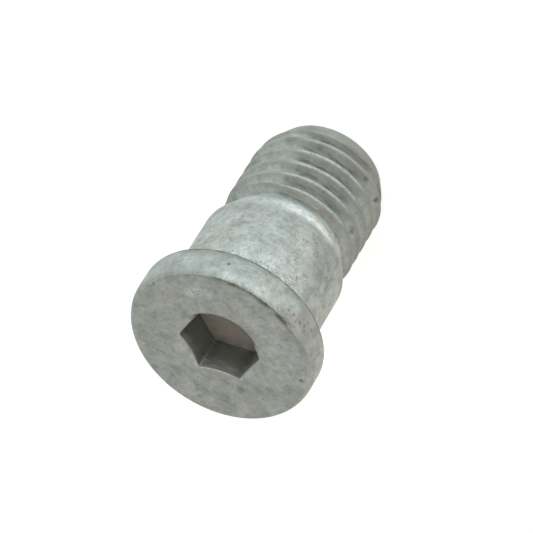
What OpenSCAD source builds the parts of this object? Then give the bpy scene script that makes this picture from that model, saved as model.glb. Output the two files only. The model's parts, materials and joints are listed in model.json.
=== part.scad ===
// Brake disc retaining screw: low round head with a hex socket, plain pilot
// shank, cone, and a fine right-hand thread with a chamfered end.
// Millimetres. The screw stands on its thread end: the end face is centred on
// the origin and the axis runs up +Z to the head. A socket corner lies on +X.

/* [Head] */
// Widest diameter of the head
head_d = 16; // [15:0.5:20]
// Height of the head from its seat to its flat face
head_h = 2.8; // [2:0.1:4]
// Radius of the bulged shoulder round the face
shoulder_r = 1.3; // [1:0.1:2]
// Height of the shoulder, which ends in a crisp edge at the face
shoulder_h = 0.9; // [0.3:0.1:0.9]
// Rounding of the head's edge on the seat side
seat_edge_r = 0.25; // [0.1:0.05:0.6]

/* [Hex socket] */
// Width of the socket across its flats
socket_af = 6.08; // [4:0.02:7]
// Depth of the socket floor below the face
socket_depth = 3.4; // [2:0.1:6]
// Chamfer at the mouth, measured from the axis
mouth_angle = 60; // [45:1:70]
// How far the chamfer's circle clears the socket corners
mouth_margin = 0.08; // [0.04:0.02:0.3]

/* [Shank] */
// Diameter of the plain shank that locates the disc
shank_d = 12.5; // [12.2:0.1:13.6]
// Length of the shank from the seat to the start of the cone
shank_len = 8.1; // [5:0.1:20]
// Fillet between the seat and the shank
seat_fillet = 0.3; // [0.1:0.05:0.6]
// Radius of the soft edge between the shank and the cone
shank_edge_r = 1; // [0.2:0.1:2]
// Slope of the cone, measured from the axis
cone_angle = 26; // [20:1:50]

/* [Thread] */
// Diameter over the thread crests
thread_d = 11.8; // [10:0.1:12]
// Advance of the thread in one turn
pitch = 1.5; // [1:0.25:1.75]
// Length from the end face to the small end of the cone
thread_len = 9.3; // [6:0.1:20]
// How far below the small end of the cone the crests begin to run out
runout_inset = 0.2; // [0:0.1:1]
// Slope at both ends of the groove, measured from the axis
runout_angle = 60; // [30:1:70]
// Length of the plain band at the end, where the groove hasn't begun
lead_len = 1; // [0.6:0.1:2]
// How far the edge of the end face lies inside the thread root
tip_inset = 0.2; // [0.1:0.05:0.8]
// Slope of the end chamfer, measured from the axis
tip_angle = 25; // [15:1:45]
// Rounding of the edge of the end face
tip_edge_r = 0.3; // [0.1:0.1:0.6]
// Angle about the axis at which a crest crosses the plane of the end face
start_angle = -110; // [-180:1:180]

/* [Hidden] */

screw_colour = "#989f9a";
facets = 96;
arc_steps = 8;
overcut = 1;

head_r = head_d / 2;
shank_r = shank_d / 2;
crest_r = thread_d / 2;

// The standard 60 degree profile: a flat of an eighth of the pitch on the crest
flank_angle = 30;
depth_per_pitch = 0.6134;
crest_per_pitch = 1 / 8;
thread_depth = depth_per_pitch * pitch;
root_r = crest_r - thread_depth;
crest_half = crest_per_pitch * pitch / 2;
base_half = crest_half + thread_depth * tan(flank_angle);

// The core stays a little under the thread root, so that the rod covers it
core_clear = 0.1;
core_r = root_r - core_clear;
tip_r = root_r - tip_inset;
tip_edge = tip_edge_r * tan((90 - tip_angle) / 2);

// The plain band ends on the chamfer, between the root and the crest
lead_r = min(crest_r - core_clear, max(root_r, tip_r + lead_len * tan(tip_angle)));

// Heights along the axis, from the end face up
cone_h = (shank_r - root_r) / tan(cone_angle);
shank_z = thread_len + cone_h;
seat_z = shank_z + shank_len;
face_z = seat_z + head_h;

socket_r = socket_af / 2 / cos(30);
mouth_r = socket_r + mouth_margin;

// The rod of thread: columns round the axis, four rows of points to a turn
columns = 48;
rows_per_turn = 4;
spare_turns = 2;
rod_turns = ceil(shank_z / pitch) + 2 * spare_turns;
rod_rows = rod_turns * rows_per_turn;
rod_z = -pitch * (spare_turns + start_angle / 360);

// Points of an arc about a centre, from one angle to another
function arc(centre, r, from, to) =
    [for (k = [0 : arc_steps]) let (a = from + (to - from) * k / arc_steps) centre + r * [cos(a), sin(a)]];

// Half outline of the blank, from the face down to the foot of the cone
function blank_outline() =
    let (
        face_turn = asin(shoulder_h / shoulder_r),
        edge_tangent = shank_edge_r * tan(cone_angle / 2)
    )
    concat(
        [[0, face_z]],
        arc([head_r - shoulder_r, face_z - shoulder_h], shoulder_r, face_turn, 0),
        arc([head_r - seat_edge_r, seat_z + seat_edge_r], seat_edge_r, 0, -90),
        arc([shank_r + seat_fillet, seat_z - seat_fillet], seat_fillet, 90, 180),
        arc([shank_r - shank_edge_r, shank_z + edge_tangent], shank_edge_r, 0, -cone_angle),
        [[core_r, thread_len - core_clear / tan(cone_angle)], [0, thread_len - core_clear / tan(cone_angle)]]
    );

// The turned blank: head, shank and cone
module blank() {
    rotate_extrude($fn = facets) polygon(blank_outline());
}

// The collar that fills the groove at the end and slopes down into it
module lead_collar() {
    collar_r = lead_r + core_clear;
    collar_z = lead_len - core_clear / tan(runout_angle);
    foot_z = lead_len + (lead_r - core_r) / tan(runout_angle);
    rotate_extrude($fn = facets)
        polygon([[0, -overcut], [collar_r, -overcut], [collar_r, collar_z], [core_r, foot_z], [0, foot_z]]);
}

// The body that trims the crests so that they run out before the cone
module runout_envelope() {
    runout_z = thread_len - runout_inset;
    outer_z = runout_z - overcut / tan(runout_angle);
    inner_z = runout_z + (crest_r - core_r) / tan(runout_angle);
    rotate_extrude($fn = facets)
        polygon([
            [0, -overcut],
            [crest_r + overcut, -overcut],
            [crest_r + overcut, outer_z],
            [core_r, inner_z],
            [0, inner_z]
        ]);
}

// The body that trims the thread's rod: flat end, end chamfer and crest
module tip_envelope() {
    chamfer_h = (crest_r + overcut - tip_r) / tan(tip_angle);
    rotate_extrude($fn = facets)
        polygon(concat(
            [[0, 0]],
            arc([tip_r - tip_edge, tip_edge_r], tip_edge_r, -90, -tip_angle),
            [[crest_r + overcut, chamfer_h], [crest_r + overcut, shank_z], [0, shank_z]]
        ));
}

// Offsets along the axis and radii of the four points of one ridge, going up
ridge = [[-base_half, root_r], [-crest_half, crest_r], [crest_half, crest_r], [base_half, root_r]];

function rod_point(row, column) =
    let (
        corner = ridge[row % rows_per_turn],
        turn = floor(row / rows_per_turn) + column / columns,
        angle = 360 * column / columns
    )
    [corner[1] * cos(angle), corner[1] * sin(angle), rod_z + pitch * turn + corner[0]];

// Index of a point: past the last column the surface goes on one turn higher
function rod_index(row, column) =
    column < columns ? row * columns + column : (row + rows_per_turn) * columns;

// A right-hand threaded rod, longer at both ends than what is kept of it
module thread_rod() {
    all_rows = rod_rows + rows_per_turn;
    points = [for (row = [0 : all_rows - 1]) for (column = [0 : columns - 1]) rod_point(row, column)];
    foot = len(points);
    top = foot + 1;
    ends = [[0, 0, rod_z], [0, 0, rod_z + pitch * (rod_turns + 1)]];
    sides = [
        for (row = [0 : rod_rows - 2])
            for (column = [0 : columns - 1])
                let (
                    a = rod_index(row, column),
                    b = rod_index(row, column + 1),
                    c = rod_index(row + 1, column + 1),
                    d = rod_index(row + 1, column)
                )
                each [[a, c, b], [a, d, c]]
    ];
    last = rod_rows - 1;
    foot_fan = concat(
        [for (column = [0 : columns - 1]) [foot, rod_index(0, column), rod_index(0, column + 1)]],
        [for (row = [0 : rows_per_turn - 1]) [foot, rod_index(row + 1, 0), rod_index(row, 0)]]
    );
    top_fan = concat(
        [for (column = [0 : columns - 1]) [top, rod_index(last, column + 1), rod_index(last, column)]],
        [for (row = [0 : rows_per_turn - 1]) [top, rod_index(last + row, 0), rod_index(last + row + 1, 0)]]
    );
    polyhedron(concat(points, ends), concat(sides, foot_fan, top_fan));
}

// The hex socket with its chamfered mouth, as the shape that is cut away
module hex_socket() {
    mouth_h = mouth_r / tan(mouth_angle);
    mouth_top_r = (mouth_h + overcut) * tan(mouth_angle);
    translate([0, 0, face_z - socket_depth])
        cylinder(r = socket_r, h = socket_depth + overcut, $fn = 6);
    translate([0, 0, face_z - mouth_h])
        cylinder(r1 = 0, r2 = mouth_top_r, h = mouth_h + overcut, $fn = facets);
}

module retaining_screw() {
    color(screw_colour)
        difference() {
            union() {
                blank();
                intersection() {
                    union() {
                        thread_rod();
                        lead_collar();
                    }
                    tip_envelope();
                    runout_envelope();
                }
            }
            hex_socket();
        }
}

retaining_screw();
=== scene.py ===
"""Brake disc retaining screw: its dressed model, the studio floor, the lamps and the camera."""
import json
import logging
import math
from dataclasses import dataclass, field
from enum import Enum
from typing import Any, Dict, List, Optional, Sequence, Tuple, Union

import bpy
import numpy as np
from mathutils import Matrix, Vector


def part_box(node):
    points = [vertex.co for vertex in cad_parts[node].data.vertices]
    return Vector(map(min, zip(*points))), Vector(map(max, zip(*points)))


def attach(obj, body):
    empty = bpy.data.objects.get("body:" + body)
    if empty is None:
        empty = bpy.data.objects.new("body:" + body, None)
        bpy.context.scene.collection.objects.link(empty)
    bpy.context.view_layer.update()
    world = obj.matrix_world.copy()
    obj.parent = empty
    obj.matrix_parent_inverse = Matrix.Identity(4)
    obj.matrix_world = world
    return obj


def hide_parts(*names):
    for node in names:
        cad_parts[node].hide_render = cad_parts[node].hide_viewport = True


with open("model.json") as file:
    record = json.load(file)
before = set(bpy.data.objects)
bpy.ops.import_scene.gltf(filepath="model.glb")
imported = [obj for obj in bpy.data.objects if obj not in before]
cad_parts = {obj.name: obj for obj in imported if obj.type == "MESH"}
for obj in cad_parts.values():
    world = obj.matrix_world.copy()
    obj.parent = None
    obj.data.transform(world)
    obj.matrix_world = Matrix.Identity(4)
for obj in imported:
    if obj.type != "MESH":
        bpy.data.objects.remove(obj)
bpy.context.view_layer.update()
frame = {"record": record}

NODE = "retaining_screw"
BODY = "root"
MM = 0.001

Colour = Tuple[float, float, float]

log = logging.getLogger("retaining_screw")


class Mark(Enum):
    """Names of the values that each point of the screw carries for its finish, painted light and shade among
    them.
    """

    # Pale crest lines: partly worn crests, partly a painted highlight, full only in front.
    CREST = "crest"
    # Dark mark: partly dirt, partly painted shade in the grooves, under the head, at the rim and in the
    # socket.
    GRIME_AND_SHADE = "grime"
    # Pale mark: wear at the end face and the mouth, a paler patch on the face, and a painted highlight on the
    # cone and along the socket's corners.
    WEAR_AND_HIGHLIGHT = "wear"
    # Dull film, also used as painted shade on the head's side, in the socket and to even out the thread's
    # shading.
    FILM_AND_SHADE = "film"
    WARM = "warm"
    BLOTCH = "blotch"
    # Speckled dark mark, mostly painted shade: in the thread's grooves, at the rim, at the foot of the head,
    # at the cone's foot and in the socket.
    SOOT_AND_SHADE = "soot"


Marks = Dict[Mark, Any]


class Zone(Enum):
    """The screw's surfaces on which a spot of its finish can lie."""

    FACE = "face"
    HEAD = "head"
    SHANK = "shank"
    THREAD = "thread"


class Lamp(Enum):
    """The soft lamps of the studio."""

    KEY = "key"
    SKY = "sky"
    FILL = "fill"
    RIM = "rim"


def soft_min(a: np.ndarray, b: np.ndarray, blend: float) -> np.ndarray:
    """Smaller of two values, rounded where they meet: half their sum less the root of their gap."""
    return 0.5 * (a + b - np.sqrt((a - b) ** 2 + blend ** 2))


def soft_max(a: np.ndarray, b: np.ndarray, blend: float) -> np.ndarray:
    """Larger of two values, rounded where they meet, as the mirror of soft_min."""
    return -soft_min(-a, -b, blend)


def smooth_step(x: np.ndarray, low: float, high: float) -> np.ndarray:
    """Cubic ramp that is 0 below low and 1 above high."""
    t = np.clip((x - low) / (high - low), 0.0, 1.0)
    return t * t * (3.0 - 2.0 * t)


def ripple(points: np.ndarray, wavelength: float, seed: int, waves: int = 14) -> np.ndarray:
    """Smooth unevenness: the mean of plane waves that run in fixed, seeded directions.

    Args:
        points: Points in metres, with xyz on the last axis.
        wavelength: Typical distance between bumps in metres.
        seed: Chooses the directions and phases.
        waves: How many waves are summed.

    Returns:
        Values mostly between -1 and 1, one a point.
    """
    source = np.random.default_rng(seed)
    runs = source.normal(size=(3, waves))
    runs /= np.linalg.norm(runs, axis=0)
    runs *= source.uniform(0.7, 1.5, waves) * 2.0 * math.pi / wavelength
    phases = source.uniform(0.0, 2.0 * math.pi, waves)
    return np.cos(points @ runs + phases).sum(axis=-1) / math.sqrt(waves)


@dataclass(frozen=True)
class Sector:
    """A range of azimuths, in degrees about the axis, that fades out on both sides."""

    middle: float
    half: float
    fade: float

    def weight(self, angle: np.ndarray) -> np.ndarray:
        """Weight that is 1 in the sector and falls to 0 over the fade, for angles in radians."""
        away = np.abs(np.mod(np.degrees(angle) - self.middle + 180.0, 360.0) - 180.0)
        return 1.0 - smooth_step(away, self.half, self.half + self.fade)


def arc(centre: Tuple[float, float], radius: float, start: float, stop: float, steps: int) -> np.ndarray:
    """Points of a circle's arc in the half plane of radius and height.

    Args:
        centre: Radius and height of the arc's centre.
        radius: The arc's own radius.
        start: First angle in degrees, from the outward direction towards up.
        stop: Last angle in degrees.
        steps: Number of spans.

    Returns:
        An array of (radius, height) rows.
    """
    turn = np.radians(np.linspace(start, stop, steps + 1))
    return np.column_stack([centre[0] + radius * np.cos(turn), centre[1] + radius * np.sin(turn)])


def run(start: Sequence[float], stop: Sequence[float], steps: int) -> np.ndarray:
    """Evenly spaced rows of radius and height from just after one point to just before another."""
    share = np.linspace(0.0, 1.0, steps + 1)[1:-1, None]
    return np.asarray(start) + share * (np.asarray(stop) - np.asarray(start))


@dataclass(frozen=True)
class ScrewSizes:
    """Sizes of the screw in metres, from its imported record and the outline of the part."""

    head_r: float
    face_z: float
    seat_z: float
    shank_r: float
    crest_r: float
    thread_len: float
    socket_depth: float
    pitch: float = 1.5 * MM
    start_angle: float = -110.0
    depth_per_pitch: float = 0.6134
    crest_per_pitch: float = 1.0 / 8.0
    flank_angle: float = 30.0
    cone_angle: float = 26.0
    runout_inset: float = 0.2 * MM
    runout_angle: float = 60.0
    lead_len: float = 1.0 * MM
    tip_angle: float = 25.0
    tip_inset: float = 0.2 * MM
    tip_edge_r: float = 0.3 * MM
    shank_edge_r: float = 1.0 * MM
    seat_fillet: float = 0.3 * MM
    seat_edge_r: float = 0.25 * MM
    shoulder_r: float = 1.3 * MM
    shoulder_h: float = 0.9 * MM
    socket_af: float = 6.08 * MM
    socket_corner_r: float = 0.25 * MM
    mouth_margin: float = 0.08 * MM
    mouth_angle: float = 60.0

    @classmethod
    def from_frame(cls, record: Dict[str, Any], low: Sequence[float], high: Sequence[float]) -> "ScrewSizes":
        """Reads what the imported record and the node's box say.

        Args:
            record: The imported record.
            low: Lowest corner of the node's box.
            high: Highest corner of the node's box.

        Returns:
            The screw's sizes.
        """
        mounts = {mount["name"]: mount for mount in record["mounts"]}
        return cls(
            head_r=0.5 * (high[0] - low[0]),
            face_z=high[2],
            seat_z=mounts["head_seat"]["pos_m"][2],
            shank_r=mounts["shank"]["dims"]["r_mm"] * MM,
            crest_r=mounts["thread"]["dims"]["r_mm"] * MM,
            thread_len=mounts["thread"]["dims"]["length_mm"] * MM,
            socket_depth=mounts["hex_drive"]["dims"]["length_mm"] * MM,
        )

    @property
    def root_r(self) -> float:
        """Radius at the bottom of the thread."""
        return self.crest_r - self.depth_per_pitch * self.pitch

    @property
    def tip_r(self) -> float:
        """Radius at which the end chamfer would meet the end face."""
        return self.root_r - self.tip_inset

    @property
    def shank_z(self) -> float:
        """Height at which the cone would meet the shank."""
        return self.thread_len + (self.shank_r - self.root_r) / math.tan(math.radians(self.cone_angle))

    @property
    def face_r(self) -> float:
        """Radius of the flat face, inside the bulged shoulder."""
        return self.head_r - self.shoulder_r + math.sqrt(self.shoulder_r ** 2 - self.shoulder_h ** 2)

    @property
    def socket_r(self) -> float:
        """Radius of the socket's corners."""
        return 0.5 * self.socket_af / math.cos(math.radians(30.0))

    @property
    def mouth_r(self) -> float:
        """Radius of the chamfer's circle on the face."""
        return self.socket_r + self.mouth_margin

    @property
    def lead_r(self) -> float:
        """Radius at which the plain band of the end chamfer stops."""
        return self.tip_r + self.lead_len * math.tan(math.radians(self.tip_angle))

    @property
    def runout_z(self) -> float:
        """Height at which the crests begin to run out."""
        return self.thread_len - self.runout_inset

    @property
    def neck_z(self) -> float:
        """Height at which the run-out of the crests meets the cone."""
        fall, rise = math.tan(math.radians(self.runout_angle)), math.tan(math.radians(self.cone_angle))
        return (self.crest_r - self.root_r + self.runout_z * fall + self.thread_len * rise) / (fall + rise)

    def lead(self, z: np.ndarray) -> np.ndarray:
        """Radius of the slope from the plain band into the groove at a height."""
        return self.lead_r - (z - self.lead_len) * math.tan(math.radians(self.runout_angle))

    def runout(self, z: np.ndarray) -> np.ndarray:
        """Largest radius of the crests where they run out, at a height."""
        return self.crest_r - (z - self.runout_z) * math.tan(math.radians(self.runout_angle))

    def cone(self, z: np.ndarray) -> np.ndarray:
        """Radius of the cone between thread and shank at a height."""
        return self.root_r + (z - self.thread_len) * math.tan(math.radians(self.cone_angle))

    def tip(self, z: np.ndarray) -> np.ndarray:
        """Radius of the end chamfer at a height."""
        return self.tip_r + z * math.tan(math.radians(self.tip_angle))

    def hexagon(self, angle: np.ndarray) -> np.ndarray:
        """Radius of the socket's wall: six flats, joined by small arcs that touch the flats on both sides.

        Args:
            angle: Angles about the axis in radians, with a corner at 0.

        Returns:
            One radius an angle.
        """
        half, small = 0.5 * self.socket_af, self.socket_corner_r
        slant = math.pi / 6.0
        from_flat = np.abs(np.mod(angle, 2.0 * slant) - slant)
        from_corner = slant - from_flat
        centre = (half - small) / math.cos(slant)
        under = np.maximum(small ** 2 - (centre * np.sin(from_corner)) ** 2, 0.0)
        rounded = centre * np.cos(from_corner) + np.sqrt(under)
        touch = math.atan2(small * math.sin(slant), centre + small * math.cos(slant))
        return np.where(from_corner < touch, rounded, half / np.cos(from_flat))


@dataclass(frozen=True)
class Patina:
    """Wear, film and dirt over the screw, with painted light and shade among them, as weights from height,
    radius and azimuth.

    The sectors are named as the camera sees them: front is the middle of the picture, left and right are its
    sides, and back is what it hides.
    """

    sizes: ScrewSizes
    open_front: Sector = Sector(-112.0, 18.0, 26.0)
    open_back: Sector = Sector(70.0, 55.0, 30.0)
    # This and most sectors below place painted light or shade: crest highlights and groove shade in front, a
    # lighter thread to the left, the cone's highlight, shade at the rim, on the head's side and in the
    # socket.
    painted_light_front: Sector = Sector(-114.0, 22.0, 16.0)
    left_painted_light: Sector = Sector(-40.0, 18.0, 18.0)
    tip_front: Sector = Sector(-105.0, 30.0, 14.0)
    lead_right: Sector = Sector(-150.0, 22.0, 16.0)
    cone_bright: Sector = Sector(-110.0, 28.0, 14.0)
    cone_lean: Sector = Sector(-128.0, 17.0, 28.0)
    neck_right: Sector = Sector(-164.0, 24.0, 14.0)
    neck_front: Sector = Sector(-104.0, 12.0, 14.0)
    neck_left: Sector = Sector(-62.0, 18.0, 14.0)
    rim_shade: Sector = Sector(-112.0, 20.0, 14.0)
    edge_shadow: Sector = Sector(-128.0, 22.0, 20.0)
    rim_dark: Sector = Sector(-114.0, 16.0, 18.0)
    rim_darkest: Sector = Sector(-112.0, 7.0, 6.0)
    rim_right: Sector = Sector(-150.0, 12.0, 10.0)
    rim_range: Sector = Sector(-110.0, 48.0, 12.0)
    side_left: Sector = Sector(-50.0, 20.0, 25.0)
    side_right: Sector = Sector(-152.0, 6.0, 10.0)
    side_painted_light: Sector = Sector(-125.0, 8.0, 12.0)
    side_low: Sector = Sector(-95.0, 30.0, 12.0)
    shoulder_painted_light: Sector = Sector(-104.0, 14.0, 14.0)
    foot_front: Sector = Sector(-102.0, 36.0, 14.0)
    top_right: Sector = Sector(-147.0, 14.0, 12.0)
    top_front: Sector = Sector(-112.0, 10.0, 10.0)
    face_pale: Sector = Sector(-158.0, 24.0, 24.0)
    body_warm: Sector = Sector(-150.0, 24.0, 16.0)
    socket_near: Sector = Sector(-100.0, 45.0, 30.0)
    chamfer_far: Sector = Sector(90.0, 22.0, 14.0)
    mouth_far: Sector = Sector(90.0, 26.0, 6.0)
    corner_far: Sector = Sector(60.0, 10.0, 10.0)
    floor_shade: Sector = Sector(-140.0, 30.0, 25.0)

    def dull(self, angle: np.ndarray) -> np.ndarray:
        """How far the grooves are filled: not at all in front and at the back, and fully between."""
        return 1.0 - np.maximum(self.open_front.weight(angle), self.open_back.weight(angle))

    def end(self, radius: np.ndarray) -> Marks:
        """Marks of the end face, which is worn towards its edge."""
        pale_wear_and_highlight = smooth_step(radius, 0.9 * self.sizes.tip_r, self.sizes.tip_r)
        return {Mark.WEAR_AND_HIGHLIGHT: 0.3 * pale_wear_and_highlight, Mark.FILM_AND_SHADE: 0.4 * pale_wear_and_highlight}

    def thread(self, radius: np.ndarray, z: np.ndarray, angle: np.ndarray, rise: np.ndarray) -> Marks:
        """Marks of the thread: pale crests and dark grooves in front, as painted highlight and painted shade
        with some wear and dirt, and a film over the rest, painted to even out the thread's shading.

        Args:
            radius: Radii of the trimmed thread.
            z: Heights.
            angle: Angles about the axis in radians.
            rise: Heights above the crest's middle, in pitches.

        Returns:
            The weights of each mark.
        """
        s = self.sizes
        dull = self.dull(angle)
        plain = 1.0 - np.maximum(self.painted_light_front.weight(angle), 0.8 * self.open_back.weight(angle))
        depth = (np.minimum(s.tip(z), s.crest_r) - radius) / (s.crest_r - s.root_r)
        # Pale crests: partly crest wear, partly a painted highlight, faded out at the sides and weaker near
        # the tip.
        crest = (1.0 - smooth_step(depth, 0.02, 0.10)) * smooth_step(radius, s.crest_r - 0.25 * MM, s.crest_r)
        crest = crest * (1.0 - 0.95 * plain) * (0.3 + 0.7 * smooth_step(z, 2.6 * MM, 4.4 * MM))
        # Groove bottoms darker: partly dirt, partly painted shade, less where the grooves are filled.
        grime = 0.3 * smooth_step(depth, 0.15, 0.95) * (1.0 - 0.75 * dull)
        upper_flank = smooth_step(rise, 0.05, 0.14) * (1.0 - smooth_step(rise, 0.28, 0.44))
        # Painted shade at the sides: more film on the crests and less in the grooves and on the upper flanks,
        # less still to the left, which evens out the thread's shading.
        side_painted_shade = 1.05 - 0.45 * smooth_step(depth, 0.05, 0.4) - 0.2 * upper_flank
        side_painted_shade = side_painted_shade * (1.0 - 0.22 * self.left_painted_light.weight(angle))
        # In front and at the back the film is thicker off the crests; at the sides the painted shade above
        # takes over.
        film = (0.5 + 0.27 * smooth_step(depth, 0.02, 0.09)) * (1.0 - plain) + plain * side_painted_shade
        # Painted shade that dulls the crests near the tip in front.
        tip_painted_shade = (1.0 - smooth_step(z, 2.2 * MM, 3.8 * MM)) * (1.0 - smooth_step(depth, 0.1, 0.5))
        film = film + 0.26 * tip_painted_shade * self.tip_front.weight(angle)
        lead_line = 1.0 - smooth_step(np.abs(z - s.lead_len - 0.6 * MM), 0.1 * MM, 0.4 * MM)
        # Painted shade in the grooves in front and at the back, and a dark line along the lead band on the
        # right.
        soot = (0.24 + 0.2 * smooth_step(depth, 0.25, 0.9)) * smooth_step(depth, 0.04, 0.12) * (1.0 - dull)
        soot = np.maximum(soot, 0.35 * lead_line * self.lead_right.weight(angle))
        on_cone = 1.0 - smooth_step(radius - s.cone(z), 0.0, 0.06 * MM)
        return {
            Mark.CREST: crest,
            Mark.GRIME_AND_SHADE: grime * (1.0 - on_cone),
            Mark.WEAR_AND_HIGHLIGHT: on_cone * self.cone_wear_and_highlight(z, angle),
            Mark.FILM_AND_SHADE: film * (1.0 - on_cone),
            Mark.WARM: 0.3 + (1.0 - dull) * (0.3 - 0.4 * smooth_step(depth, 0.4, 0.9)),
            Mark.BLOTCH: 0.7 * dull,
            Mark.SOOT_AND_SHADE: np.maximum(soot * (1.0 - on_cone), self.cone_foot_shade(z, angle)),
        }

    def cone_wear_and_highlight(self, z: np.ndarray, angle: np.ndarray) -> np.ndarray:
        """How pale the cone is: a little all round as burnish, and more in front and on the right as a
        painted highlight.

        Args:
            z: Heights.
            angle: Angles about the axis in radians.

        Returns:
            Weights from 0 to 1.
        """
        neck, shank = self.sizes.neck_z, self.sizes.shank_z
        fading = 1.0 - smooth_step(z, shank - 0.7 * MM, shank + 0.1 * MM)
        slow = 0.25 * smooth_step(z, neck + 0.4 * MM, neck + 1.9 * MM)
        quick = smooth_step(z, neck + 0.1 * MM, neck + 1.4 * MM)
        quick = quick * self.cone_bright.weight(angle) * self.cone_lean.weight(angle)
        edge = smooth_step(z, neck - 0.1 * MM, neck + 0.2 * MM)
        return fading * np.maximum(slow + quick, 0.25 * edge * self.neck_right.weight(angle))

    def cone_foot_shade(self, z: np.ndarray, angle: np.ndarray) -> np.ndarray:
        """Painted shade at the foot of the cone: darkest in front, and fading further up on the left.

        Args:
            z: Heights.
            angle: Angles about the axis in radians.

        Returns:
            Weights from 0 to 1.
        """
        neck = self.sizes.neck_z
        front = 1.0 - smooth_step(np.abs(z - neck), 0.1 * MM, 0.6 * MM)
        left = (1.0 - smooth_step(z, neck + 0.3 * MM, neck + 1.6 * MM)) * (z > neck)
        front = 0.4 * front * self.neck_front.weight(angle)
        return np.maximum(front, 0.16 * left * self.neck_left.weight(angle))

    def on_face(self, height: np.ndarray) -> np.ndarray:
        """1 on the flat face of the head, 0 elsewhere."""
        return (height > self.sizes.face_z - 0.001 * MM).astype(float)

    def on_head(self, height: np.ndarray) -> np.ndarray:
        """1 on the side of the head and its shoulder, 0 elsewhere."""
        return (1.0 - self.on_face(height)) * (height > self.sizes.seat_z)

    def body(self, radius: np.ndarray, height: np.ndarray, angle: np.ndarray) -> Marks:
        """Marks of the cone, the shank and the head.

        Args:
            radius: Radii.
            height: Heights.
            angle: Angles about the axis in radians.

        Returns:
            The weights of each mark.
        """
        off_face = 1.0 - self.on_face(height)
        pale_ring = self.on_face(height) * (1.0 - smooth_step(np.abs(radius - 5.4 * MM), 0.8 * MM, 1.6 * MM))
        return {
            Mark.GRIME_AND_SHADE: self.body_grime_and_shade(radius, height, angle),
            # The cone's burnish and painted highlight, and a paler patch on the right of the face.
            Mark.WEAR_AND_HIGHLIGHT: self.cone_wear_and_highlight(height, angle) + 0.16 * pale_ring * self.face_pale.weight(angle),
            Mark.FILM_AND_SHADE: self.head_film_and_shade(height, angle),
            Mark.WARM: off_face * 0.8 * self.body_warm.weight(angle),
            Mark.BLOTCH: off_face,
            Mark.SOOT_AND_SHADE: self.body_soot_and_shade(radius, height, angle),
        }

    def body_grime_and_shade(self, radius: np.ndarray, height: np.ndarray, angle: np.ndarray) -> np.ndarray:
        """Painted shade where the shank meets the head, a painted shadow along the edge of the seat, and
        painted shade at the rim of the face and on the head's side just below it.

        Args:
            radius: Radii.
            height: Heights.
            angle: Angles about the axis in radians.

        Returns:
            Weights from 0 to 1.
        """
        s = self.sizes
        on_face = self.on_face(height)
        inside = s.face_r - radius
        corner = 1.0 - smooth_step(np.hypot(radius - s.shank_r, height - s.seat_z), 0.0, 1.0 * MM)
        rim = on_face * (1.0 - smooth_step(inside, 0.0, 0.3 * MM))
        edge = (1.0 - on_face) * (1.0 - smooth_step(-inside, 0.0, 0.3 * MM))
        edge = edge * (height > s.seat_z + s.seat_edge_r)
        seat_line = 1.0 - smooth_step(height - s.seat_z, 0.10 * MM, 0.45 * MM)
        seat_line = seat_line * (radius > s.shank_r + 0.6 * MM)
        return np.maximum.reduce([
            0.8 * corner,
            0.75 * seat_line,
            0.7 * rim * self.rim_shade.weight(angle),
            0.3 * edge * self.edge_shadow.weight(angle),
        ])

    def head_film_and_shade(self, height: np.ndarray, angle: np.ndarray) -> np.ndarray:
        """Dull film on the side of the head, and a stronger one on its shoulder, shaped as painted shade:
        darker to the left, to the right and low in front, lighter a little right of the middle, and with the
        shoulder lighter in front.

        Args:
            height: Heights.
            angle: Angles about the axis in radians.

        Returns:
            Weights from 0 to 1.
        """
        s = self.sizes
        on_head = self.on_head(height)
        shoulder = on_head * smooth_step(height, s.face_z - 1.2 * MM, s.face_z - 0.5 * MM)
        low = 1.0 - smooth_step(height - s.seat_z, 0.5 * MM, 1.5 * MM)
        side = 0.15 + 0.3 * self.side_left.weight(angle) + 0.35 * self.side_right.weight(angle)
        side = side - 0.3 * self.side_painted_light.weight(angle) + 0.2 * low * self.side_low.weight(angle)
        return np.maximum(side * on_head, 0.55 * shoulder * (1.0 - self.shoulder_painted_light.weight(angle)))

    def body_soot_and_shade(self, radius: np.ndarray, height: np.ndarray, angle: np.ndarray) -> np.ndarray:
        """Dark specks at the rim, at the top and the foot of the head's side, and on the cone and its bend;
        at the rim, at the foot in front and at the cone's foot they are painted shade.

        Args:
            radius: Radii.
            height: Heights.
            angle: Angles about the axis in radians.

        Returns:
            Weights from 0 to 1.
        """
        s = self.sizes
        on_head = self.on_head(height)
        rim = 0.16 + 0.46 * self.rim_dark.weight(angle) + 0.3 * self.rim_darkest.weight(angle)
        rim = (rim + 0.12 * self.rim_right.weight(angle)) * self.rim_range.weight(angle)
        rim = rim * self.on_face(height) * (1.0 - smooth_step(s.face_r - radius, 0.15 * MM, 0.6 * MM))
        foot = on_head * (1.0 - smooth_step(height - s.seat_z, 0.3 * MM, 0.8 * MM))
        top = on_head * smooth_step(height, s.face_z - 0.35 * MM, s.face_z - 0.05 * MM)
        top = top * (0.22 + 0.22 * self.top_right.weight(angle) + 0.2 * self.top_front.weight(angle))
        bend = 1.0 - smooth_step(np.abs(height - s.shank_z - 0.5 * MM), 0.1 * MM, 0.6 * MM)
        soot = np.maximum(rim, self.cone_foot_shade(height, angle))
        return soot + top + 0.3 * foot * self.foot_front.weight(angle) + 0.15 * bend

    def chamfer(self, down: np.ndarray, angle: np.ndarray) -> Marks:
        """Marks of the socket's chamfer, by the share of the way down it."""
        return {
            # Painted shade on the near side of the chamfer, deeper down.
            Mark.GRIME_AND_SHADE: self.socket_near.weight(angle) * smooth_step(down, 0.0, 0.5),
            Mark.FILM_AND_SHADE: 0.8 * self.chamfer_far.weight(angle),
            Mark.WARM: 0.8,
        }

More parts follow.
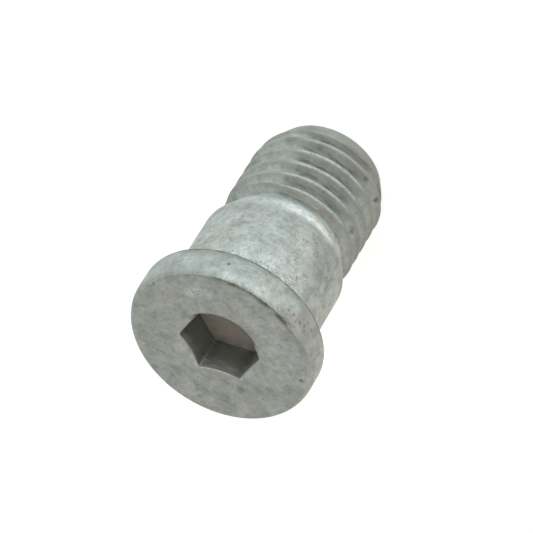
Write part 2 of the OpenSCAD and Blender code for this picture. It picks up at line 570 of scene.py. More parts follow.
    def walls(self, share: np.ndarray, angle: np.ndarray) -> Marks:
        """Marks of the socket's walls: dark below the mouth, at the floor and beside the corners, as painted
        shade with some dirt, with a painted highlight along each corner.

        Args:
            share: Share of the way down the wall.
            angle: Angles about the axis in radians.

        Returns:
            The weights of each mark.
        """
        from_corner = np.degrees(np.abs(np.mod(angle + math.pi / 6.0, math.pi / 3.0) - math.pi / 6.0))
        line = 1.0 - smooth_step(from_corner, 0.8, 2.0)
        line = line * (0.3 + 0.7 * self.corner_far.weight(angle)) * (1.0 - 0.6 * share)
        band = (1.0 - smooth_step(from_corner, 4.0, 16.0)) * (1.0 - line)
        soot = 0.5 * smooth_step(share, 0.0, 0.05) * (1.0 - smooth_step(share, 0.1, 0.6))
        soot = soot + 0.35 * smooth_step(share, 0.7, 1.0)
        mouth = (1.0 - smooth_step(share, 0.0, 0.03)) * (0.1 + 0.6 * self.mouth_far.weight(angle))
        return {
            # The near side darker as painted shade; the thick film darkens all walls, partly as painted
            # shade.
            Mark.GRIME_AND_SHADE: self.socket_near.weight(angle),
            Mark.WEAR_AND_HIGHLIGHT: mouth + 0.13 * line,
            Mark.FILM_AND_SHADE: 1.2,
            Mark.WARM: 0.4,
            Mark.SOOT_AND_SHADE: soot * (1.0 - 0.8 * line) + 0.3 * band * smooth_step(share, 0.0, 0.3),
        }

    def floor(self, share: np.ndarray, angle: np.ndarray) -> Marks:
        """Marks of the socket's floor, by the share of the way from its middle to the walls."""
        # Painted shade: darker towards the walls, and a painted shadow on one side under the chamfer's edge.
        shade = 0.3 * smooth_step(share, 0.4, 0.9) * self.floor_shade.weight(angle)
        return {Mark.FILM_AND_SHADE: 1.0, Mark.WARM: 1.0, Mark.SOOT_AND_SHADE: 0.04 + 0.45 * smooth_step(share, 0.6, 1.0) + shade}


@dataclass
class RetainingScrew:
    """The screw as one closed surface: rings of a turned outline, a helical sheet of thread, a hex socket."""

    sizes: ScrewSizes
    patina: Patina
    columns: int = 240
    rows_per_turn: int = 24
    crowding: float = 0.65
    crest_round: float = 0.06 * MM
    crest_wobble: float = 0.03 * MM
    wobble_length: float = 0.9 * MM
    wobble_seed: int = 5
    root_round: float = 0.22 * MM
    trim_round: float = 0.05 * MM
    fill_share: float = 0.35
    snap: float = 0.02 * MM
    face_rings: int = 24
    sharp_angle: float = 38.0
    points: List[np.ndarray] = field(default_factory=list)
    quads: List[np.ndarray] = field(default_factory=list)
    triangles: List[np.ndarray] = field(default_factory=list)
    marks: Dict[Mark, List[np.ndarray]] = field(default_factory=lambda: {mark: [] for mark in Mark})
    count: int = 0

    @property
    def angles(self) -> np.ndarray:
        """Angle of each column about the axis: even steps, drawn closer together at the socket's corners."""
        even = np.arange(self.columns) * 2.0 * math.pi / self.columns
        return even - self.crowding / 6.0 * np.sin(6.0 * even)

    def add(self, radius: np.ndarray, height: np.ndarray, marks: Marks) -> np.ndarray:
        """Stores points given by radius and height over rows and columns.

        Args:
            radius: Radii, one row of columns a ring.
            height: Heights of the same shape.
            marks: Values for the finish; what isn't given is 0.

        Returns:
            The points' indices, in the same shape.
        """
        angle = np.broadcast_to(self.angles, radius.shape)
        xyz = np.stack([radius * np.cos(angle), radius * np.sin(angle), height], axis=-1)
        self.points.append(xyz.reshape(-1, 3))
        for mark in Mark:
            values = np.broadcast_to(marks.get(mark, 0.0), radius.shape)
            self.marks[mark].append(values.reshape(-1))
        first = self.count
        self.count += radius.size
        return np.arange(first, self.count).reshape(radius.shape)

    def add_pole(self, height: float, marks: Marks) -> int:
        """Stores one point on the axis.

        Args:
            height: Its height.
            marks: Values for the finish; what isn't given is 0.

        Returns:
            The point's index.
        """
        self.points.append(np.array([[0.0, 0.0, height]]))
        for mark in Mark:
            self.marks[mark].append(np.array([marks.get(mark, 0.0)]))
        self.count += 1
        return self.count - 1

    def join(self, lower: np.ndarray, upper: np.ndarray) -> None:
        """Spans quads from one ring of indices to the next one along the outline."""
        self.quads.append(np.column_stack([lower, np.roll(lower, -1), np.roll(upper, -1), upper]))

    def join_rings(self, rings: np.ndarray) -> None:
        """Spans quads between all rings of a block, in order."""
        for lower, upper in zip(rings[:-1], rings[1:]):
            self.join(lower, upper)

    def end_rings(self) -> np.ndarray:
        """The end face and its rounded edge: a flat disc, then an arc tangent to the disc and the chamfer.

        Returns:
            Ring indices, the last one at the foot of the thread.
        """
        s = self.sizes
        inset = s.tip_edge_r * math.tan(math.radians(90.0 - s.tip_angle) / 2.0)
        edge = arc((s.tip_r - inset, s.tip_edge_r), s.tip_edge_r, -90.0, -s.tip_angle, 6)
        outline = np.vstack([run((0.0, 0.0), edge[0], 9), edge])
        grid = np.ones(self.columns)
        radius, height = outline[:, :1] * grid, outline[:, 1:] * grid
        rings = self.add(radius, height, self.patina.end(radius))
        pole = self.add_pole(0.0, {})
        ring = rings[0]
        self.triangles.append(np.column_stack([np.full(self.columns, pole), np.roll(ring, -1), ring]))
        self.join_rings(rings)
        return rings

    def thread_profile(self) -> Tuple[np.ndarray, np.ndarray]:
        """One pitch of the thread: 60 degree flanks cut off at crest and root, with both cuts rounded.

        Returns:
            Heights from the crest's middle, from minus to plus half a pitch, and the radii there.
        """
        s = self.sizes
        z = (np.arange(self.rows_per_turn) / self.rows_per_turn - 0.5) * s.pitch
        crest_half = 0.5 * s.crest_per_pitch * s.pitch
        flank = s.crest_r + (crest_half - np.abs(z)) / math.tan(math.radians(s.flank_angle))
        radius = soft_min(flank, np.full_like(z, s.crest_r), self.crest_round)
        return z, soft_max(radius, np.full_like(z, s.root_r), self.root_round)

    def thread_sheet(self, foot: np.ndarray, top: np.ndarray, low: float, high: float) -> None:
        """The thread as a sheet whose rows climb one pitch a turn, trimmed at both ends.

        The radius at a height is the ridge's profile with uneven crests, raised to a partly filled groove
        where the thread is dull and to the slope of the plain band, cut by the end chamfer and by the
        run-out, and raised to the cone. A row past the last column goes on as the row one turn higher in
        the first column. Points past the sheet's limits become the points of the ring there.

        Args:
            foot: Indices of the ring below the thread.
            top: Indices of the ring above the thread.
            low: Height of the ring below.
            high: Height of the ring above.
        """
        s = self.sizes
        offset, profile = self.thread_profile()
        first_turn = -2
        turns = math.ceil(high / s.pitch) - 2 * first_turn
        rows = turns * self.rows_per_turn
        row = np.arange(rows + self.rows_per_turn)
        turn = row // self.rows_per_turn + first_turn
        step = row % self.rows_per_turn
        base = -s.pitch * s.start_angle / 360.0
        z = base + s.pitch * turn[:, None] + offset[step][:, None] + s.pitch * self.angles / (2.0 * math.pi)
        ridge = np.broadcast_to(profile[step][:, None], z.shape)
        angle = np.broadcast_to(self.angles, z.shape)
        place = np.stack([s.crest_r * np.cos(angle), s.crest_r * np.sin(angle), z], axis=-1)
        uneven = ripple(place, self.wobble_length, self.wobble_seed)
        crest_cut = s.crest_r - self.crest_wobble * (0.5 + 0.5 * np.tanh(uneven))
        dull = self.patina.dull(angle)
        filled = s.root_r + self.fill_share * dull * (s.crest_r - s.root_r)
        ridge = np.where(dull > 0.0, soft_max(ridge, filled, self.root_round * dull), ridge)
        radius = soft_max(np.minimum(ridge, crest_cut), s.lead(z), self.trim_round)
        radius = soft_min(radius, s.tip(z), self.trim_round)
        radius = soft_min(radius, s.runout(z), self.trim_round)
        radius = soft_max(radius, s.cone(z), self.trim_round)
        rise = offset[step][:, None] / s.pitch
        index = self.add(radius, z, self.patina.thread(radius, z, angle, rise))
        index = np.where(z < low + self.snap, foot, index)
        index = np.where(z > high - self.snap, top, index)
        wrapped = np.column_stack([index[:rows], index[self.rows_per_turn:, 0]])
        a, b = wrapped[:-1, :-1].ravel(), wrapped[:-1, 1:].ravel()
        c, d = wrapped[1:, 1:].ravel(), wrapped[1:, :-1].ravel()
        whole = (a != b) & (b != c) & (c != d) & (d != a) & (a != c) & (b != d)
        self.quads.append(np.column_stack([a, b, c, d])[whole])
        for corners in ((a, b, c), (a, c, d)):
            three = np.column_stack(corners)[~whole]
            kept = (three[:, 0] != three[:, 1]) & (three[:, 1] != three[:, 2]) & (three[:, 2] != three[:, 0])
            self.triangles.append(three[kept])

    def body_rings(self, low: float) -> np.ndarray:
        """The turned outline from the cone up over the shank, the seat and the head to the socket's mouth.

        Args:
            low: Height of the first ring, on the cone.

        Returns:
            Ring indices, the last one at the mouth.
        """
        s = self.sizes
        tangent = s.shank_edge_r * math.tan(math.radians(s.cone_angle) / 2.0)
        edge_centre = (s.shank_r - s.shank_edge_r, s.shank_z + tangent)
        shank_edge = arc(edge_centre, s.shank_edge_r, -s.cone_angle, 0.0, 8)
        fillet = arc((s.shank_r + s.seat_fillet, s.seat_z - s.seat_fillet), s.seat_fillet, 180.0, 90.0, 6)
        seat_edge = arc((s.head_r - s.seat_edge_r, s.seat_z + s.seat_edge_r), s.seat_edge_r, -90.0, 0.0, 6)
        face_turn = math.degrees(math.asin(s.shoulder_h / s.shoulder_r))
        shoulder = arc((s.head_r - s.shoulder_r, s.face_z - s.shoulder_h), s.shoulder_r, 0.0, face_turn, 14)
        lip = [(s.face_r - inset * MM, s.face_z) for inset in (0.05, 0.1, 0.16, 0.24, 0.34, 0.46)]
        mouth = (s.mouth_r, s.face_z)
        outline = np.vstack([
            [(float(s.cone(low)), low)],
            run((float(s.cone(low)), low), shank_edge[0], 7),
            shank_edge,
            run(shank_edge[-1], fillet[0], 24),
            fillet,
            run(fillet[-1], seat_edge[0], 5),
            seat_edge,
            run(seat_edge[-1], shoulder[0], 6),
            shoulder,
            lip,
            run(lip[-1], mouth, self.face_rings),
            [mouth],
        ])
        angle = np.broadcast_to(self.angles, (len(outline), self.columns))
        grid = np.ones(self.columns)
        radius, height = outline[:, :1] * grid, outline[:, 1:] * grid
        rings = self.add(radius, height, self.patina.body(radius, height, angle))
        self.join_rings(rings)
        return rings

    def socket_rings(self, mouth: np.ndarray) -> None:
        """The hex socket: a conical chamfer down to where it meets each flat, the six walls and the floor.

        Args:
            mouth: Indices of the ring at the mouth.
        """
        s = self.sizes
        wall = s.hexagon(self.angles)
        chamfer_z = s.face_z - (s.mouth_r - wall) / math.tan(math.radians(s.mouth_angle))
        floor_z = s.face_z - s.socket_depth
        down = np.linspace(0.0, 1.0, 6)[1:-1, None]
        chamfer = self.add(
            s.mouth_r + down * (wall - s.mouth_r),
            s.face_z + down * (chamfer_z - s.face_z),
            self.patina.chamfer(down, self.angles),
        )
        share = np.concatenate([[0.0, 0.015, 0.03], np.linspace(0.06, 0.92, 12), [0.96, 1.0]])[:, None]
        wall_z = chamfer_z + share * (floor_z - chamfer_z)
        walls = np.broadcast_to(wall, wall_z.shape)
        rings = self.add(walls, wall_z, self.patina.walls(share, self.angles))
        inner = np.linspace(1.0, 0.0, 14)[1:-1, None]
        level = np.full((len(inner), self.columns), floor_z)
        floor = self.add(inner * wall, level, self.patina.floor(inner, self.angles))
        pole = self.add_pole(floor_z, {Mark.FILM_AND_SHADE: 1.0, Mark.WARM: 1.0, Mark.SOOT_AND_SHADE: 0.04})
        self.join(mouth, chamfer[0])
        self.join_rings(chamfer)
        self.join(chamfer[-1], rings[0])
        self.join_rings(rings)
        self.join(rings[-1], floor[0])
        self.join_rings(floor)
        ring = floor[-1]
        self.triangles.append(np.column_stack([ring, np.roll(ring, -1), np.full(self.columns, pole)]))

    def build(self) -> bpy.types.Object:
        """Makes the closed mesh with its marks.

        Returns:
            The screw's object, riding on the body and standing for the CAD node.
        """
        s = self.sizes
        end = self.end_rings()
        low = float(s.tip_edge_r * (1.0 - math.sin(math.radians(s.tip_angle))))
        clear_of_crest = 0.2 * MM
        high = s.neck_z + clear_of_crest
        body = self.body_rings(high)
        self.thread_sheet(end[-1], body[0], low, high)
        self.socket_rings(body[-1])
        return self.make_object()

    def make_object(self) -> bpy.types.Object:
        """Puts points, faces and marks into a mesh, without the points that no face uses.

        Returns:
            The new object.
        """
        points = np.vstack(self.points)
        quads, triangles = np.vstack(self.quads), np.vstack(self.triangles)
        used = np.unique(np.concatenate([quads.ravel(), triangles.ravel()]))
        renumber = np.zeros(len(points), dtype=np.int64)
        renumber[used] = np.arange(len(used))
        faces = renumber[quads].tolist() + renumber[triangles].tolist()
        mesh = bpy.data.meshes.new("screw_surface")
        mesh.from_pydata(points[used].tolist(), [], faces)
        for mark, values in self.marks.items():
            layer = mesh.attributes.new(mark.value, "FLOAT", "POINT")
            layer.data.foreach_set("value", np.concatenate(values)[used].astype(np.float32))
        mesh.shade_smooth()
        mesh.set_sharp_from_angle(angle=math.radians(self.sharp_angle))
        mesh.validate()
        screw = bpy.data.objects.new("screw", mesh)
        bpy.context.scene.collection.objects.link(screw)
        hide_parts(NODE)
        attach(screw, BODY)
        return screw


class Wire:
    """A shader socket that takes part in Python expressions; each operator adds a Math node."""

    def __init__(self, graph: "Graph", socket: bpy.types.NodeSocket) -> None:
        """Keeps the graph and the socket."""
        self.graph = graph
        self.socket = socket

    def math(self, operation: str, *others: Any) -> "Wire":
        """Adds a Math node with this value first."""
        return self.graph.math(operation, self, *others)

    def __add__(self, other: Any) -> "Wire":
        """Sum."""
        return self.math("ADD", other)

    __radd__ = __add__

    def __sub__(self, other: Any) -> "Wire":
        """Difference."""
        return self.math("SUBTRACT", other)

    def __rsub__(self, other: Any) -> "Wire":
        """Difference from a number."""
        return self.graph.math("SUBTRACT", other, self)

    def __mul__(self, other: Any) -> "Wire":
        """Product."""
        return self.math("MULTIPLY", other)

    __rmul__ = __mul__

    def ramp(self, low: float, high: float) -> "Wire":
        """Smooth step from 0 at low to 1 at high."""
        return self.graph.node(
            "ShaderNodeMapRange",
            {"interpolation_type": "SMOOTHSTEP"},
            {"Value": self, "From Min": low, "From Max": high},
        )


class Graph:
    """The node tree of a material or of the world, with short ways to add nodes."""

    def __init__(self, owner: Union[bpy.types.Material, bpy.types.World], output: str) -> None:
        """Empties the owner's tree and adds its output node."""
        owner.use_nodes = True
        self.tree = owner.node_tree
        self.tree.nodes.clear()
        self.output = self.tree.nodes.new(output)

    def feed(self, socket: bpy.types.NodeSocket, value: Any) -> None:
        """Links a wire to a socket, or sets the socket's own value."""
        if isinstance(value, Wire):
            self.tree.links.new(value.socket, socket)
        else:
            socket.default_value = value

    def node(
        self,
        kind: str,
        settings: Optional[Dict[str, Any]] = None,
        inputs: Optional[Dict[Union[str, int], Any]] = None,
        output: Union[str, int] = 0,
    ) -> Wire:
        """Adds a node of any type.

        Args:
            kind: The node's type.
            settings: Its properties, set before the sockets.
            inputs: Values or wires by socket name or number.
            output: Name or number of the socket that is returned.

        Returns:
            The node's output.
        """
        node = self.tree.nodes.new(kind)
        for key, value in (settings or {}).items():
            setattr(node, key, value)
        for key, value in (inputs or {}).items():
            self.feed(node.inputs[key], value)
        return Wire(self, node.outputs[output])

    def math(self, operation: str, *values: Any) -> Wire:
        """Adds a Math node on values and wires."""
        return self.node("ShaderNodeMath", {"operation": operation}, dict(enumerate(values)))

    def mix(self, factor: Any, first: Any, second: Any) -> Wire:
        """Mixes two colours; the factor is the share of the second."""
        return self.node(
            "ShaderNodeMix",
            {"data_type": "RGBA"},
            {"Factor": factor, 6: solid(first), 7: solid(second)},
            2,
        )

    def noise(self, place: Wire, scale: float, detail: float, roughness: float) -> Wire:
        """Adds a noise texture: bumps to a unit of the place, number and strength of finer layers."""
        return self.node(
            "ShaderNodeTexNoise",
            {},
            {"Vector": place, "Scale": scale, "Detail": detail, "Roughness": roughness},
        )

    def mapped(self, place: Wire, scale: Sequence[float], shift: Sequence[float] = (0.0, 0.0, 0.0)) -> Wire:
        """Stretches and shifts the place at which a texture is read."""
        return self.node("ShaderNodeMapping", {}, {"Vector": place, "Location": shift, "Scale": scale})

    def attribute(self, mark: Mark) -> Wire:
        """Reads a mark of the mesh."""
        return self.node("ShaderNodeAttribute", {"attribute_name": mark.value}, {}, "Fac")

    def shown(self) -> Wire:
        """Light Path's share of rays that the camera, a reflection or glass sends."""
        rays = [
            self.node("ShaderNodeLightPath", {}, {}, ray)
            for ray in ("Is Camera Ray", "Is Glossy Ray", "Is Transmission Ray")
        ]
        return rays[0].math("MAXIMUM", rays[1]).math("MAXIMUM", rays[2])

    def finish(self, shader: Wire) -> None:
        """Links the shader to the output."""
        self.tree.links.new(shader.socket, self.output.inputs["Surface"])


def solid(colour: Any) -> Any:
    """Gives a plain colour its alpha, and leaves a wire as it is."""
    return colour if isinstance(colour, Wire) else (*colour, 1.0)


@dataclass(frozen=True)
class Spot:
    """A small mark in the coating, with its azimuth in degrees and its lengths in millimetres.

    On the face, at is the distance from the axis; elsewhere it is the height above the end face. The inset
    is how far the mark lies inside the widest radius of its zone.
    """

    zone: Zone
    azimuth: float
    at: float
    size: float
    strength: float
    inset: float = 0.0

    def middle(self, sizes: ScrewSizes) -> Tuple[float, float, float]:
        """Works out where the mark lies.

        Args:
            sizes: The screw's sizes.

        Returns:
            The mark's middle in millimetres.
        """
        widest = {Zone.HEAD: sizes.head_r, Zone.SHANK: sizes.shank_r, Zone.THREAD: sizes.crest_r}
        if self.zone is Zone.FACE:
            radius, height = self.at, sizes.face_z / MM
        else:
            radius, height = widest[self.zone] / MM - self.inset, self.at
        turn = math.radians(self.azimuth)
        return radius * math.cos(turn), radius * math.sin(turn), height


@dataclass(frozen=True)
class ZincFlakeFinish:
    """Matt zinc-flake coating on steel: mottled greys, pits, pale worn edges, a dull film and dirt, with
    painted highlights and painted shade mixed into its pale, film and dark colours.
    """

    sizes: ScrewSizes
    cool: Colour = (0.5, 0.551, 0.53)
    warm: Colour = (0.548, 0.546, 0.512)
    deep: Colour = (0.215, 0.23, 0.21)
    # Pale colours of wear, also used for painted highlights.
    pale_wear_and_highlight: Colour = (0.84, 0.88, 0.88)
    pale_wear_and_highlight_warm: Colour = (0.9, 0.88, 0.81)
    # Darkest colour, of grime and of painted shade.
    groove: Colour = (0.1, 0.103, 0.088)
    # Film colours, also used for painted shade.
    film_and_shade_cool: Colour = (0.19, 0.225, 0.205)
    film_and_shade_warm: Colour = (0.27, 0.225, 0.185)
    # Dark colour of pits, pores and broad darker patches.
    dark_spot: Colour = (0.06, 0.065, 0.055)
    metallic: float = 0.12
    roughness: float = 0.7
    dark_spots: Tuple[Spot, ...] = (
        Spot(Zone.HEAD, -91.0, 21.3, 0.19, 0.9),
        Spot(Zone.FACE, -40.5, 7.5, 0.22, 0.4),
        Spot(Zone.FACE, 173.0, 7.2, 0.3, 0.6),
        Spot(Zone.FACE, 161.0, 6.55, 0.6, 0.2),
        Spot(Zone.FACE, 115.0, 4.5, 0.5, 0.4),
        Spot(Zone.FACE, 100.0, 3.8, 0.5, 0.3),
        Spot(Zone.FACE, 76.0, 6.5, 0.35, 0.35),
        Spot(Zone.HEAD, -95.0, 21.3, 0.9, 0.12),
        Spot(Zone.THREAD, -144.0, 3.1, 0.3, 0.55, 0.23),
        Spot(Zone.THREAD, -167.5, 3.0, 0.32, 0.75, 0.26),
        Spot(Zone.THREAD, -166.0, 2.9, 0.26, 0.6, 0.12),
        Spot(Zone.THREAD, -96.0, 3.3, 0.3, 0.3, 0.3),
        Spot(Zone.THREAD, -163.0, 7.65, 0.38, 0.6, 0.48),
        Spot(Zone.THREAD, -160.0, 7.6, 0.3, 0.5, 0.34),
        Spot(Zone.THREAD, -70.0, 2.9, 0.9, 0.28),
        Spot(Zone.THREAD, -88.5, 6.4, 0.32, 0.22, 0.37),
        Spot(Zone.THREAD, -84.5, 7.9, 0.3, 0.22, 0.32),
        Spot(Zone.THREAD, -117.5, 7.7, 0.22, 0.34, 0.2),
        Spot(Zone.THREAD, -130.5, 6.1, 0.3, 0.22, 0.2),
        Spot(Zone.THREAD, -49.5, 9.5, 0.32, 0.26, 0.25),
        Spot(Zone.THREAD, -142.5, 9.4, 0.25, 0.45),
        Spot(Zone.THREAD, -151.5, 9.6, 0.35, 0.35, 0.64),
        Spot(Zone.HEAD, -134.5, 22.0, 0.16, 0.5),
        Spot(Zone.HEAD, -138.5, 21.9, 0.18, 0.55),
        Spot(Zone.HEAD, -142.0, 22.2, 0.15, 0.5),
        Spot(Zone.HEAD, -144.5, 21.9, 0.26, 0.5),
        Spot(Zone.HEAD, -146.0, 21.35, 0.15, 0.45),
        Spot(Zone.HEAD, -148.5, 21.7, 0.2, 0.5),
        Spot(Zone.HEAD, -150.5, 22.05, 0.16, 0.5),
        Spot(Zone.HEAD, -154.5, 21.2, 0.18, 0.45),
        # The shank's spots are wide and faint: they darken broad patches rather than mark pits.
        Spot(Zone.SHANK, -72.0, 13.0, 1.1, 0.1),
        Spot(Zone.SHANK, -75.0, 15.5, 1.2, 0.08),
        Spot(Zone.SHANK, -139.0, 13.3, 1.5, 0.25),
        Spot(Zone.SHANK, -145.0, 14.6, 1.3, 0.2),
        Spot(Zone.SHANK, -80.0, 13.4, 1.5, 0.12),
        Spot(Zone.SHANK, -82.0, 14.8, 1.3, 0.1),
        Spot(Zone.SHANK, -155.0, 13.8, 1.6, 0.12),
        Spot(Zone.SHANK, -51.5, 18.6, 1.8, 0.12),
    )
    # Pale spots; those on the shank near the head and on the head's side below the rim are painted
    # highlights.
    pale_spots_and_highlights: Tuple[Spot, ...] = (
        Spot(Zone.FACE, -70.5, 5.75, 0.9, 0.5),
        Spot(Zone.FACE, -63.0, 5.7, 0.8, 0.45),
        Spot(Zone.FACE, -80.0, 5.7, 0.8, 0.4),
        Spot(Zone.HEAD, -65.0, 21.4, 1.0, 0.3),
        # Painted highlight on the shank, just below the head.
        Spot(Zone.SHANK, -89.5, 18.2, 1.8, 0.45),
        Spot(Zone.SHANK, -109.5, 18.2, 2.0, 0.55),
        Spot(Zone.SHANK, -129.5, 18.3, 1.8, 0.6),
        Spot(Zone.SHANK, -139.5, 18.2, 1.2, 0.5),
        Spot(Zone.SHANK, -134.5, 16.9, 1.7, 0.5),
        Spot(Zone.SHANK, -125.0, 14.3, 1.5, 0.4),
        Spot(Zone.SHANK, -123.0, 16.2, 1.5, 0.35),
        # Painted highlight along the head's side just below the rim.
        Spot(Zone.HEAD, -95.0, 22.4, 0.9, 0.26, 0.17),
        Spot(Zone.HEAD, -105.0, 22.5, 1.0, 0.34, 0.24),
        Spot(Zone.HEAD, -115.0, 22.5, 1.0, 0.35, 0.26),
        Spot(Zone.HEAD, -128.0, 22.6, 0.9, 0.3, 0.25),
    )

    def near(self, place: Wire, spot: Spot, ragged: Wire) -> Wire:
        """Weight of one spot: its strength inside, fading out over its size, with a ragged edge.

        Args:
            place: Where the surface is, in millimetres.
            spot: The spot.
            ragged: Noise, about 0.5 on average, that frays the spot's edge.

        Returns:
            The weight.
        """
        g = place.graph
        ends = {0: place, 1: spot.middle(self.sizes)}
        away = g.node("ShaderNodeVectorMath", {"operation": "DISTANCE"}, ends, "Value")
        frayed = away + (ragged - 0.5) * (1.6 * spot.size)
        return g.node(
            "ShaderNodeMapRange",
            {"interpolation_type": "SMOOTHSTEP"},
            {
                "Value": frayed,
                "From Min": 0.35 * spot.size,
                "From Max": spot.size,
                "To Min": spot.strength,
                "To Max": 0.0,
            },
        )

    def material(self) -> bpy.types.Material:
        """Builds the coating on Object coordinates in millimetres and on the mesh's own marks.

        Returns:
            The material.
        """
        material = bpy.data.materials.new("zinc_flake_coating")
        g = Graph(material, "ShaderNodeOutputMaterial")
        metres = g.node("ShaderNodeTexCoord", {}, {}, "Object")
        place = g.node("ShaderNodeVectorMath", {"operation": "SCALE"}, {0: metres, "Scale": 1.0 / MM})
        clouds = g.noise(place, 0.8, 3.0, 0.55)
        mottle = g.noise(place, 2.3, 3.0, 0.62)
        grain = g.noise(place, 9.0, 2.0, 0.6)
        streaks = g.noise(g.mapped(place, (0.9, 0.9, 5.5)), 1.0, 3.0, 0.6)
        lines = g.noise(g.mapped(place, (0.6, 0.6, 7.0)), 1.0, 1.0, 0.5)
        pores = g.noise(place, 4.2, 1.0, 0.5)
        tint = g.noise(g.mapped(place, (1.0, 1.0, 1.0), (11.0, 7.0, 3.0)), 1.4, 2.0, 0.6)
        crest, grime_and_shade_weight, wear, film, warm, blotch, soot = (g.attribute(mark) for mark in Mark)

        tone = clouds.ramp(0.3, 0.7) * 0.28 + mottle.ramp(0.28, 0.72) * 0.38
        tone = tone + grain.ramp(0.25, 0.75) * 0.2 + streaks.ramp(0.3, 0.7) * 0.14
        tone = tone + blotch * (clouds - 0.5) * 0.5
        # Grime and painted shade, frayed by noise.
        grime = (grime_and_shade_weight * (mottle * 2.6 + grain * 1.4 + streaks * 1.5 - 1.75)).ramp(0.2, 0.8)
        dark_spot = pores.ramp(0.69, 0.78) * 0.45
        for spot in self.dark_spots:
            dark_spot = dark_spot.math("MAXIMUM", self.near(place, spot, grain))
        # Pale marks: the crests' painted highlight, pale streaks in the shaded parts, and the pale spots and
        # painted highlights listed above.
        pale_and_highlight = crest * (mottle.ramp(0.38, 0.58) * 0.15 + grain.ramp(0.4, 0.6) * 0.11)
        pale_and_highlight = pale_and_highlight + soot * (1.0 - streaks).ramp(0.58, 0.7) * 0.18
        flecks = grain.ramp(0.44, 0.62) * 0.6 + mottle.ramp(0.4, 0.62) * 0.4
        for spot in self.pale_spots_and_highlights:
            pale_and_highlight = pale_and_highlight.math("MAXIMUM", self.near(place, spot, mottle) * flecks)
        # Share of the pale colour: wear and painted highlights together.
        bare_and_highlight = pale_and_highlight.math("MAXIMUM", wear * (0.35 + mottle.ramp(0.3, 0.65) * 0.5))

        colour = g.mix(tone, self.deep, g.mix(tint.ramp(0.35, 0.65) + warm * 0.4, self.cool, self.warm))
        # Film colour, which also carries painted shade.
        film_and_shade_colour = g.mix(warm + (streaks + clouds - 1.0) * 1.4, self.film_and_shade_cool, self.film_and_shade_warm)
        colour = g.mix(film * (0.35 + mottle * 0.4 + streaks * 0.35), colour, film_and_shade_colour)
        speckle = streaks.ramp(0.38, 0.62) + grain.ramp(0.35, 0.65) * 0.4 + mottle * 0.4
        speckle = speckle + grime_and_shade_weight.ramp(0.02, 0.15) * (lines.ramp(0.46, 0.57) - 0.5) * 1.1
        # Dark colour mixed in as dirt and as painted shade.
        colour = g.mix(soot * speckle, colour, self.groove)
        colour = g.mix(grime, colour, self.groove)
        # Pale colour mixed in as wear and as painted highlight.
        colour = g.mix(bare_and_highlight, colour, g.mix(warm, self.pale_wear_and_highlight, self.pale_wear_and_highlight_warm))
        colour = g.mix(dark_spot, colour, self.dark_spot)

        height = (mottle * 0.45 + grain * 0.4 + streaks * 0.15) * (1.0 + film * 0.8) - dark_spot * 0.6
        normal = g.node(
            "ShaderNodeBump", {}, {"Strength": 0.3, "Distance": 0.05 * MM, "Height": height}, "Normal"
        )
        shader = g.node(
            "ShaderNodeBsdfPrincipled",
            {},
            {
                "Base Color": colour,
                "Metallic": self.metallic - grime * self.metallic,
                "Roughness": self.roughness + 0.2 * (mottle - 0.5) - 0.15 * bare_and_highlight + 0.15 * grime,
                "Normal": normal,
            },
        )
        g.finish(shader)
        return material

    def dress(self, piece: bpy.types.Object) -> None:
        """Gives a piece this finish alone."""
        piece.data.materials.clear()
        piece.data.materials.append(self.material())


@dataclass(frozen=True)
class StudioFloor:
    """Plain white floor that the screw stands on, bright to the camera and to reflections."""

    half_width: float = 1.2
    colour: Colour = (0.86, 0.86, 0.86)
    shown_colour: Colour = (0.42, 0.42, 0.42)
    glow: float = 0.8

    def build(self) -> bpy.types.Object:
        """Makes the floor at the height of the screw's end face.

        Returns:
            The floor.
        """
        side = np.array([-self.half_width, self.half_width])
        x, y = np.meshgrid(side, side)
        corners = np.column_stack([x.ravel(), y.ravel(), np.zeros(4)])
        mesh = bpy.data.meshes.new("floor")
        mesh.from_pydata(corners.tolist(), [], [(0, 1, 3, 2)])
        floor = bpy.data.objects.new("floor", mesh)
        bpy.context.scene.collection.objects.link(floor)
        mesh.materials.append(self.material())
        return floor

    def material(self) -> bpy.types.Material:
        """White paint for the light; to the camera, reflections and glass, dimmer paint with a glow.

        Returns:
            The material.
        """
        material = bpy.data.materials.new("white_floor")
        g = Graph(material, "ShaderNodeOutputMaterial")
        paint = g.node("ShaderNodeBsdfDiffuse", {}, {"Color": solid(self.colour)})
        dim = g.node("ShaderNodeBsdfDiffuse", {}, {"Color": solid(self.shown_colour)})
        glow = g.node("ShaderNodeEmission", {}, {"Color": solid((1.0, 1.0, 1.0)), "Strength": self.glow})
        seen = g.node("ShaderNodeAddShader", {}, {0: dim, 1: glow})
        g.finish(g.node("ShaderNodeMixShader", {}, {0: g.shown(), 1: paint, 2: seen}))
        return material


@dataclass(frozen=True)
class SoftLamp:
    """A soft lamp, placed by direction and distance from the screw's middle."""

    role: Lamp
    azimuth: float
    elevation: float
    distance: float
    width: float
    height: float
    power: float
    colour: Colour

    def build(self, aim: Vector) -> bpy.types.Object:
        """Hangs the lamp and turns it to the aim.

        Args:
            aim: Point that the lamp faces.

        Returns:
            The lamp.
        """
        data = bpy.data.lights.new(self.role.value, "AREA")
        data.shape = "RECTANGLE"
        data.size = self.width
        data.size_y = self.height
        data.energy = self.power
        data.color = self.colour
        lamp = bpy.data.objects.new(self.role.value, data)
        bpy.context.scene.collection.objects.link(lamp)
        away = direction(self.azimuth, self.elevation)
        lamp.location = aim + away * self.distance
        lamp.rotation_euler = away.to_track_quat("Z", "Y").to_euler()
        return lamp


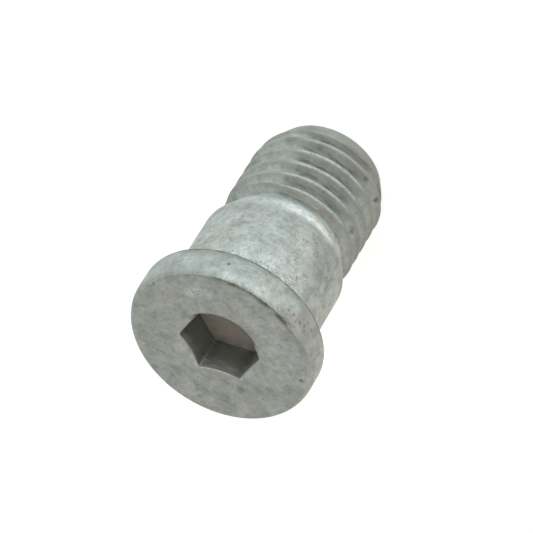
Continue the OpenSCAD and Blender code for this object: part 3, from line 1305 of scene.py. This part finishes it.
def direction(azimuth: float, elevation: float) -> Vector:
    """Unit vector by azimuth from +X towards +Y and elevation above the floor, in degrees."""
    turn, rise = math.radians(azimuth), math.radians(elevation)
    return Vector((math.cos(rise) * math.cos(turn), math.cos(rise) * math.sin(turn), math.sin(rise)))


@dataclass(frozen=True)
class Studio:
    """White surroundings and soft lamps."""

    aim: Tuple[float, float, float] = (0.0, 0.0, 12.0 * MM)
    ambient: Colour = (0.22, 0.215, 0.20)
    lamps: Tuple[SoftLamp, ...] = (
        SoftLamp(Lamp.KEY, -85.0, 6.0, 0.30, 0.45, 0.14, 1.15, (0.90, 1.0, 1.04)),
        SoftLamp(Lamp.SKY, -100.0, 75.0, 0.35, 0.30, 0.30, 0.36, (1.03, 1.0, 0.95)),
        SoftLamp(Lamp.FILL, 140.0, 4.0, 0.40, 0.25, 0.25, 1.15, (1.04, 1.0, 0.91)),
        SoftLamp(Lamp.RIM, 20.0, 4.0, 0.40, 0.25, 0.25, 0.4, (0.96, 1.0, 1.0)),
    )

    def build(self) -> None:
        """Sets the world and hangs the lamps."""
        self.surround()
        for lamp in self.lamps:
            lamp.build(Vector(self.aim))

    def surround(self) -> None:
        """White world to the camera, reflections and glass, and a soft ambient light to the rest."""
        world = bpy.data.worlds.new("studio")
        g = Graph(world, "ShaderNodeOutputWorld")
        colour = g.mix(g.shown(), self.ambient, (1.0, 1.0, 1.0))
        g.finish(g.node("ShaderNodeBackground", {}, {"Color": colour}))
        bpy.context.scene.world = world


@dataclass(frozen=True)
class PhotoCamera:
    """The photograph's viewpoint: a long lens above the head, rolled so that the head is low left."""

    azimuth: float = -111.125
    elevation: float = 41.528
    roll: float = 148.45
    aim: Tuple[float, float, float] = (0.45 * MM, 0.82 * MM, 12.0 * MM)
    distance: float = 288.0 * MM
    lens: float = 237.2
    sensor: float = 36.0

    def build(self) -> bpy.types.Object:
        """Makes the camera and turns it about its own line of sight.

        Returns:
            The scene's camera.
        """
        data = bpy.data.cameras.new("photo_camera")
        data.sensor_width = self.sensor
        data.lens = self.lens
        data.clip_start = 1.0 * MM
        camera = bpy.data.objects.new("photo_camera", data)
        bpy.context.scene.collection.objects.link(camera)
        back = direction(self.azimuth, self.elevation)
        level = back.to_track_quat("Z", "Y").to_matrix()
        turned = level @ Matrix.Rotation(-math.radians(self.roll), 3, "Z")
        camera.matrix_world = Matrix.Translation(Vector(self.aim) + back * self.distance) @ turned.to_4x4()
        bpy.context.scene.camera = camera
        return camera


def main() -> None:
    """Builds the screw, its finish, the floor, the lamps and the camera."""
    logging.basicConfig(level=logging.INFO, format="%(name)s: %(message)s")
    bpy.context.scene.view_settings.view_transform = "Standard"
    low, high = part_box(NODE)
    sizes = ScrewSizes.from_frame(frame["record"], low, high)
    screw = RetainingScrew(sizes, Patina(sizes)).build()
    ZincFlakeFinish(sizes).dress(screw)
    log.info("%s: %d faces", screw.name, len(screw.data.polygons))
    floor = StudioFloor().build()
    log.info("%s: stage", floor.name)
    Studio().build()
    PhotoCamera().build()


if __name__ == "__main__":
    main()
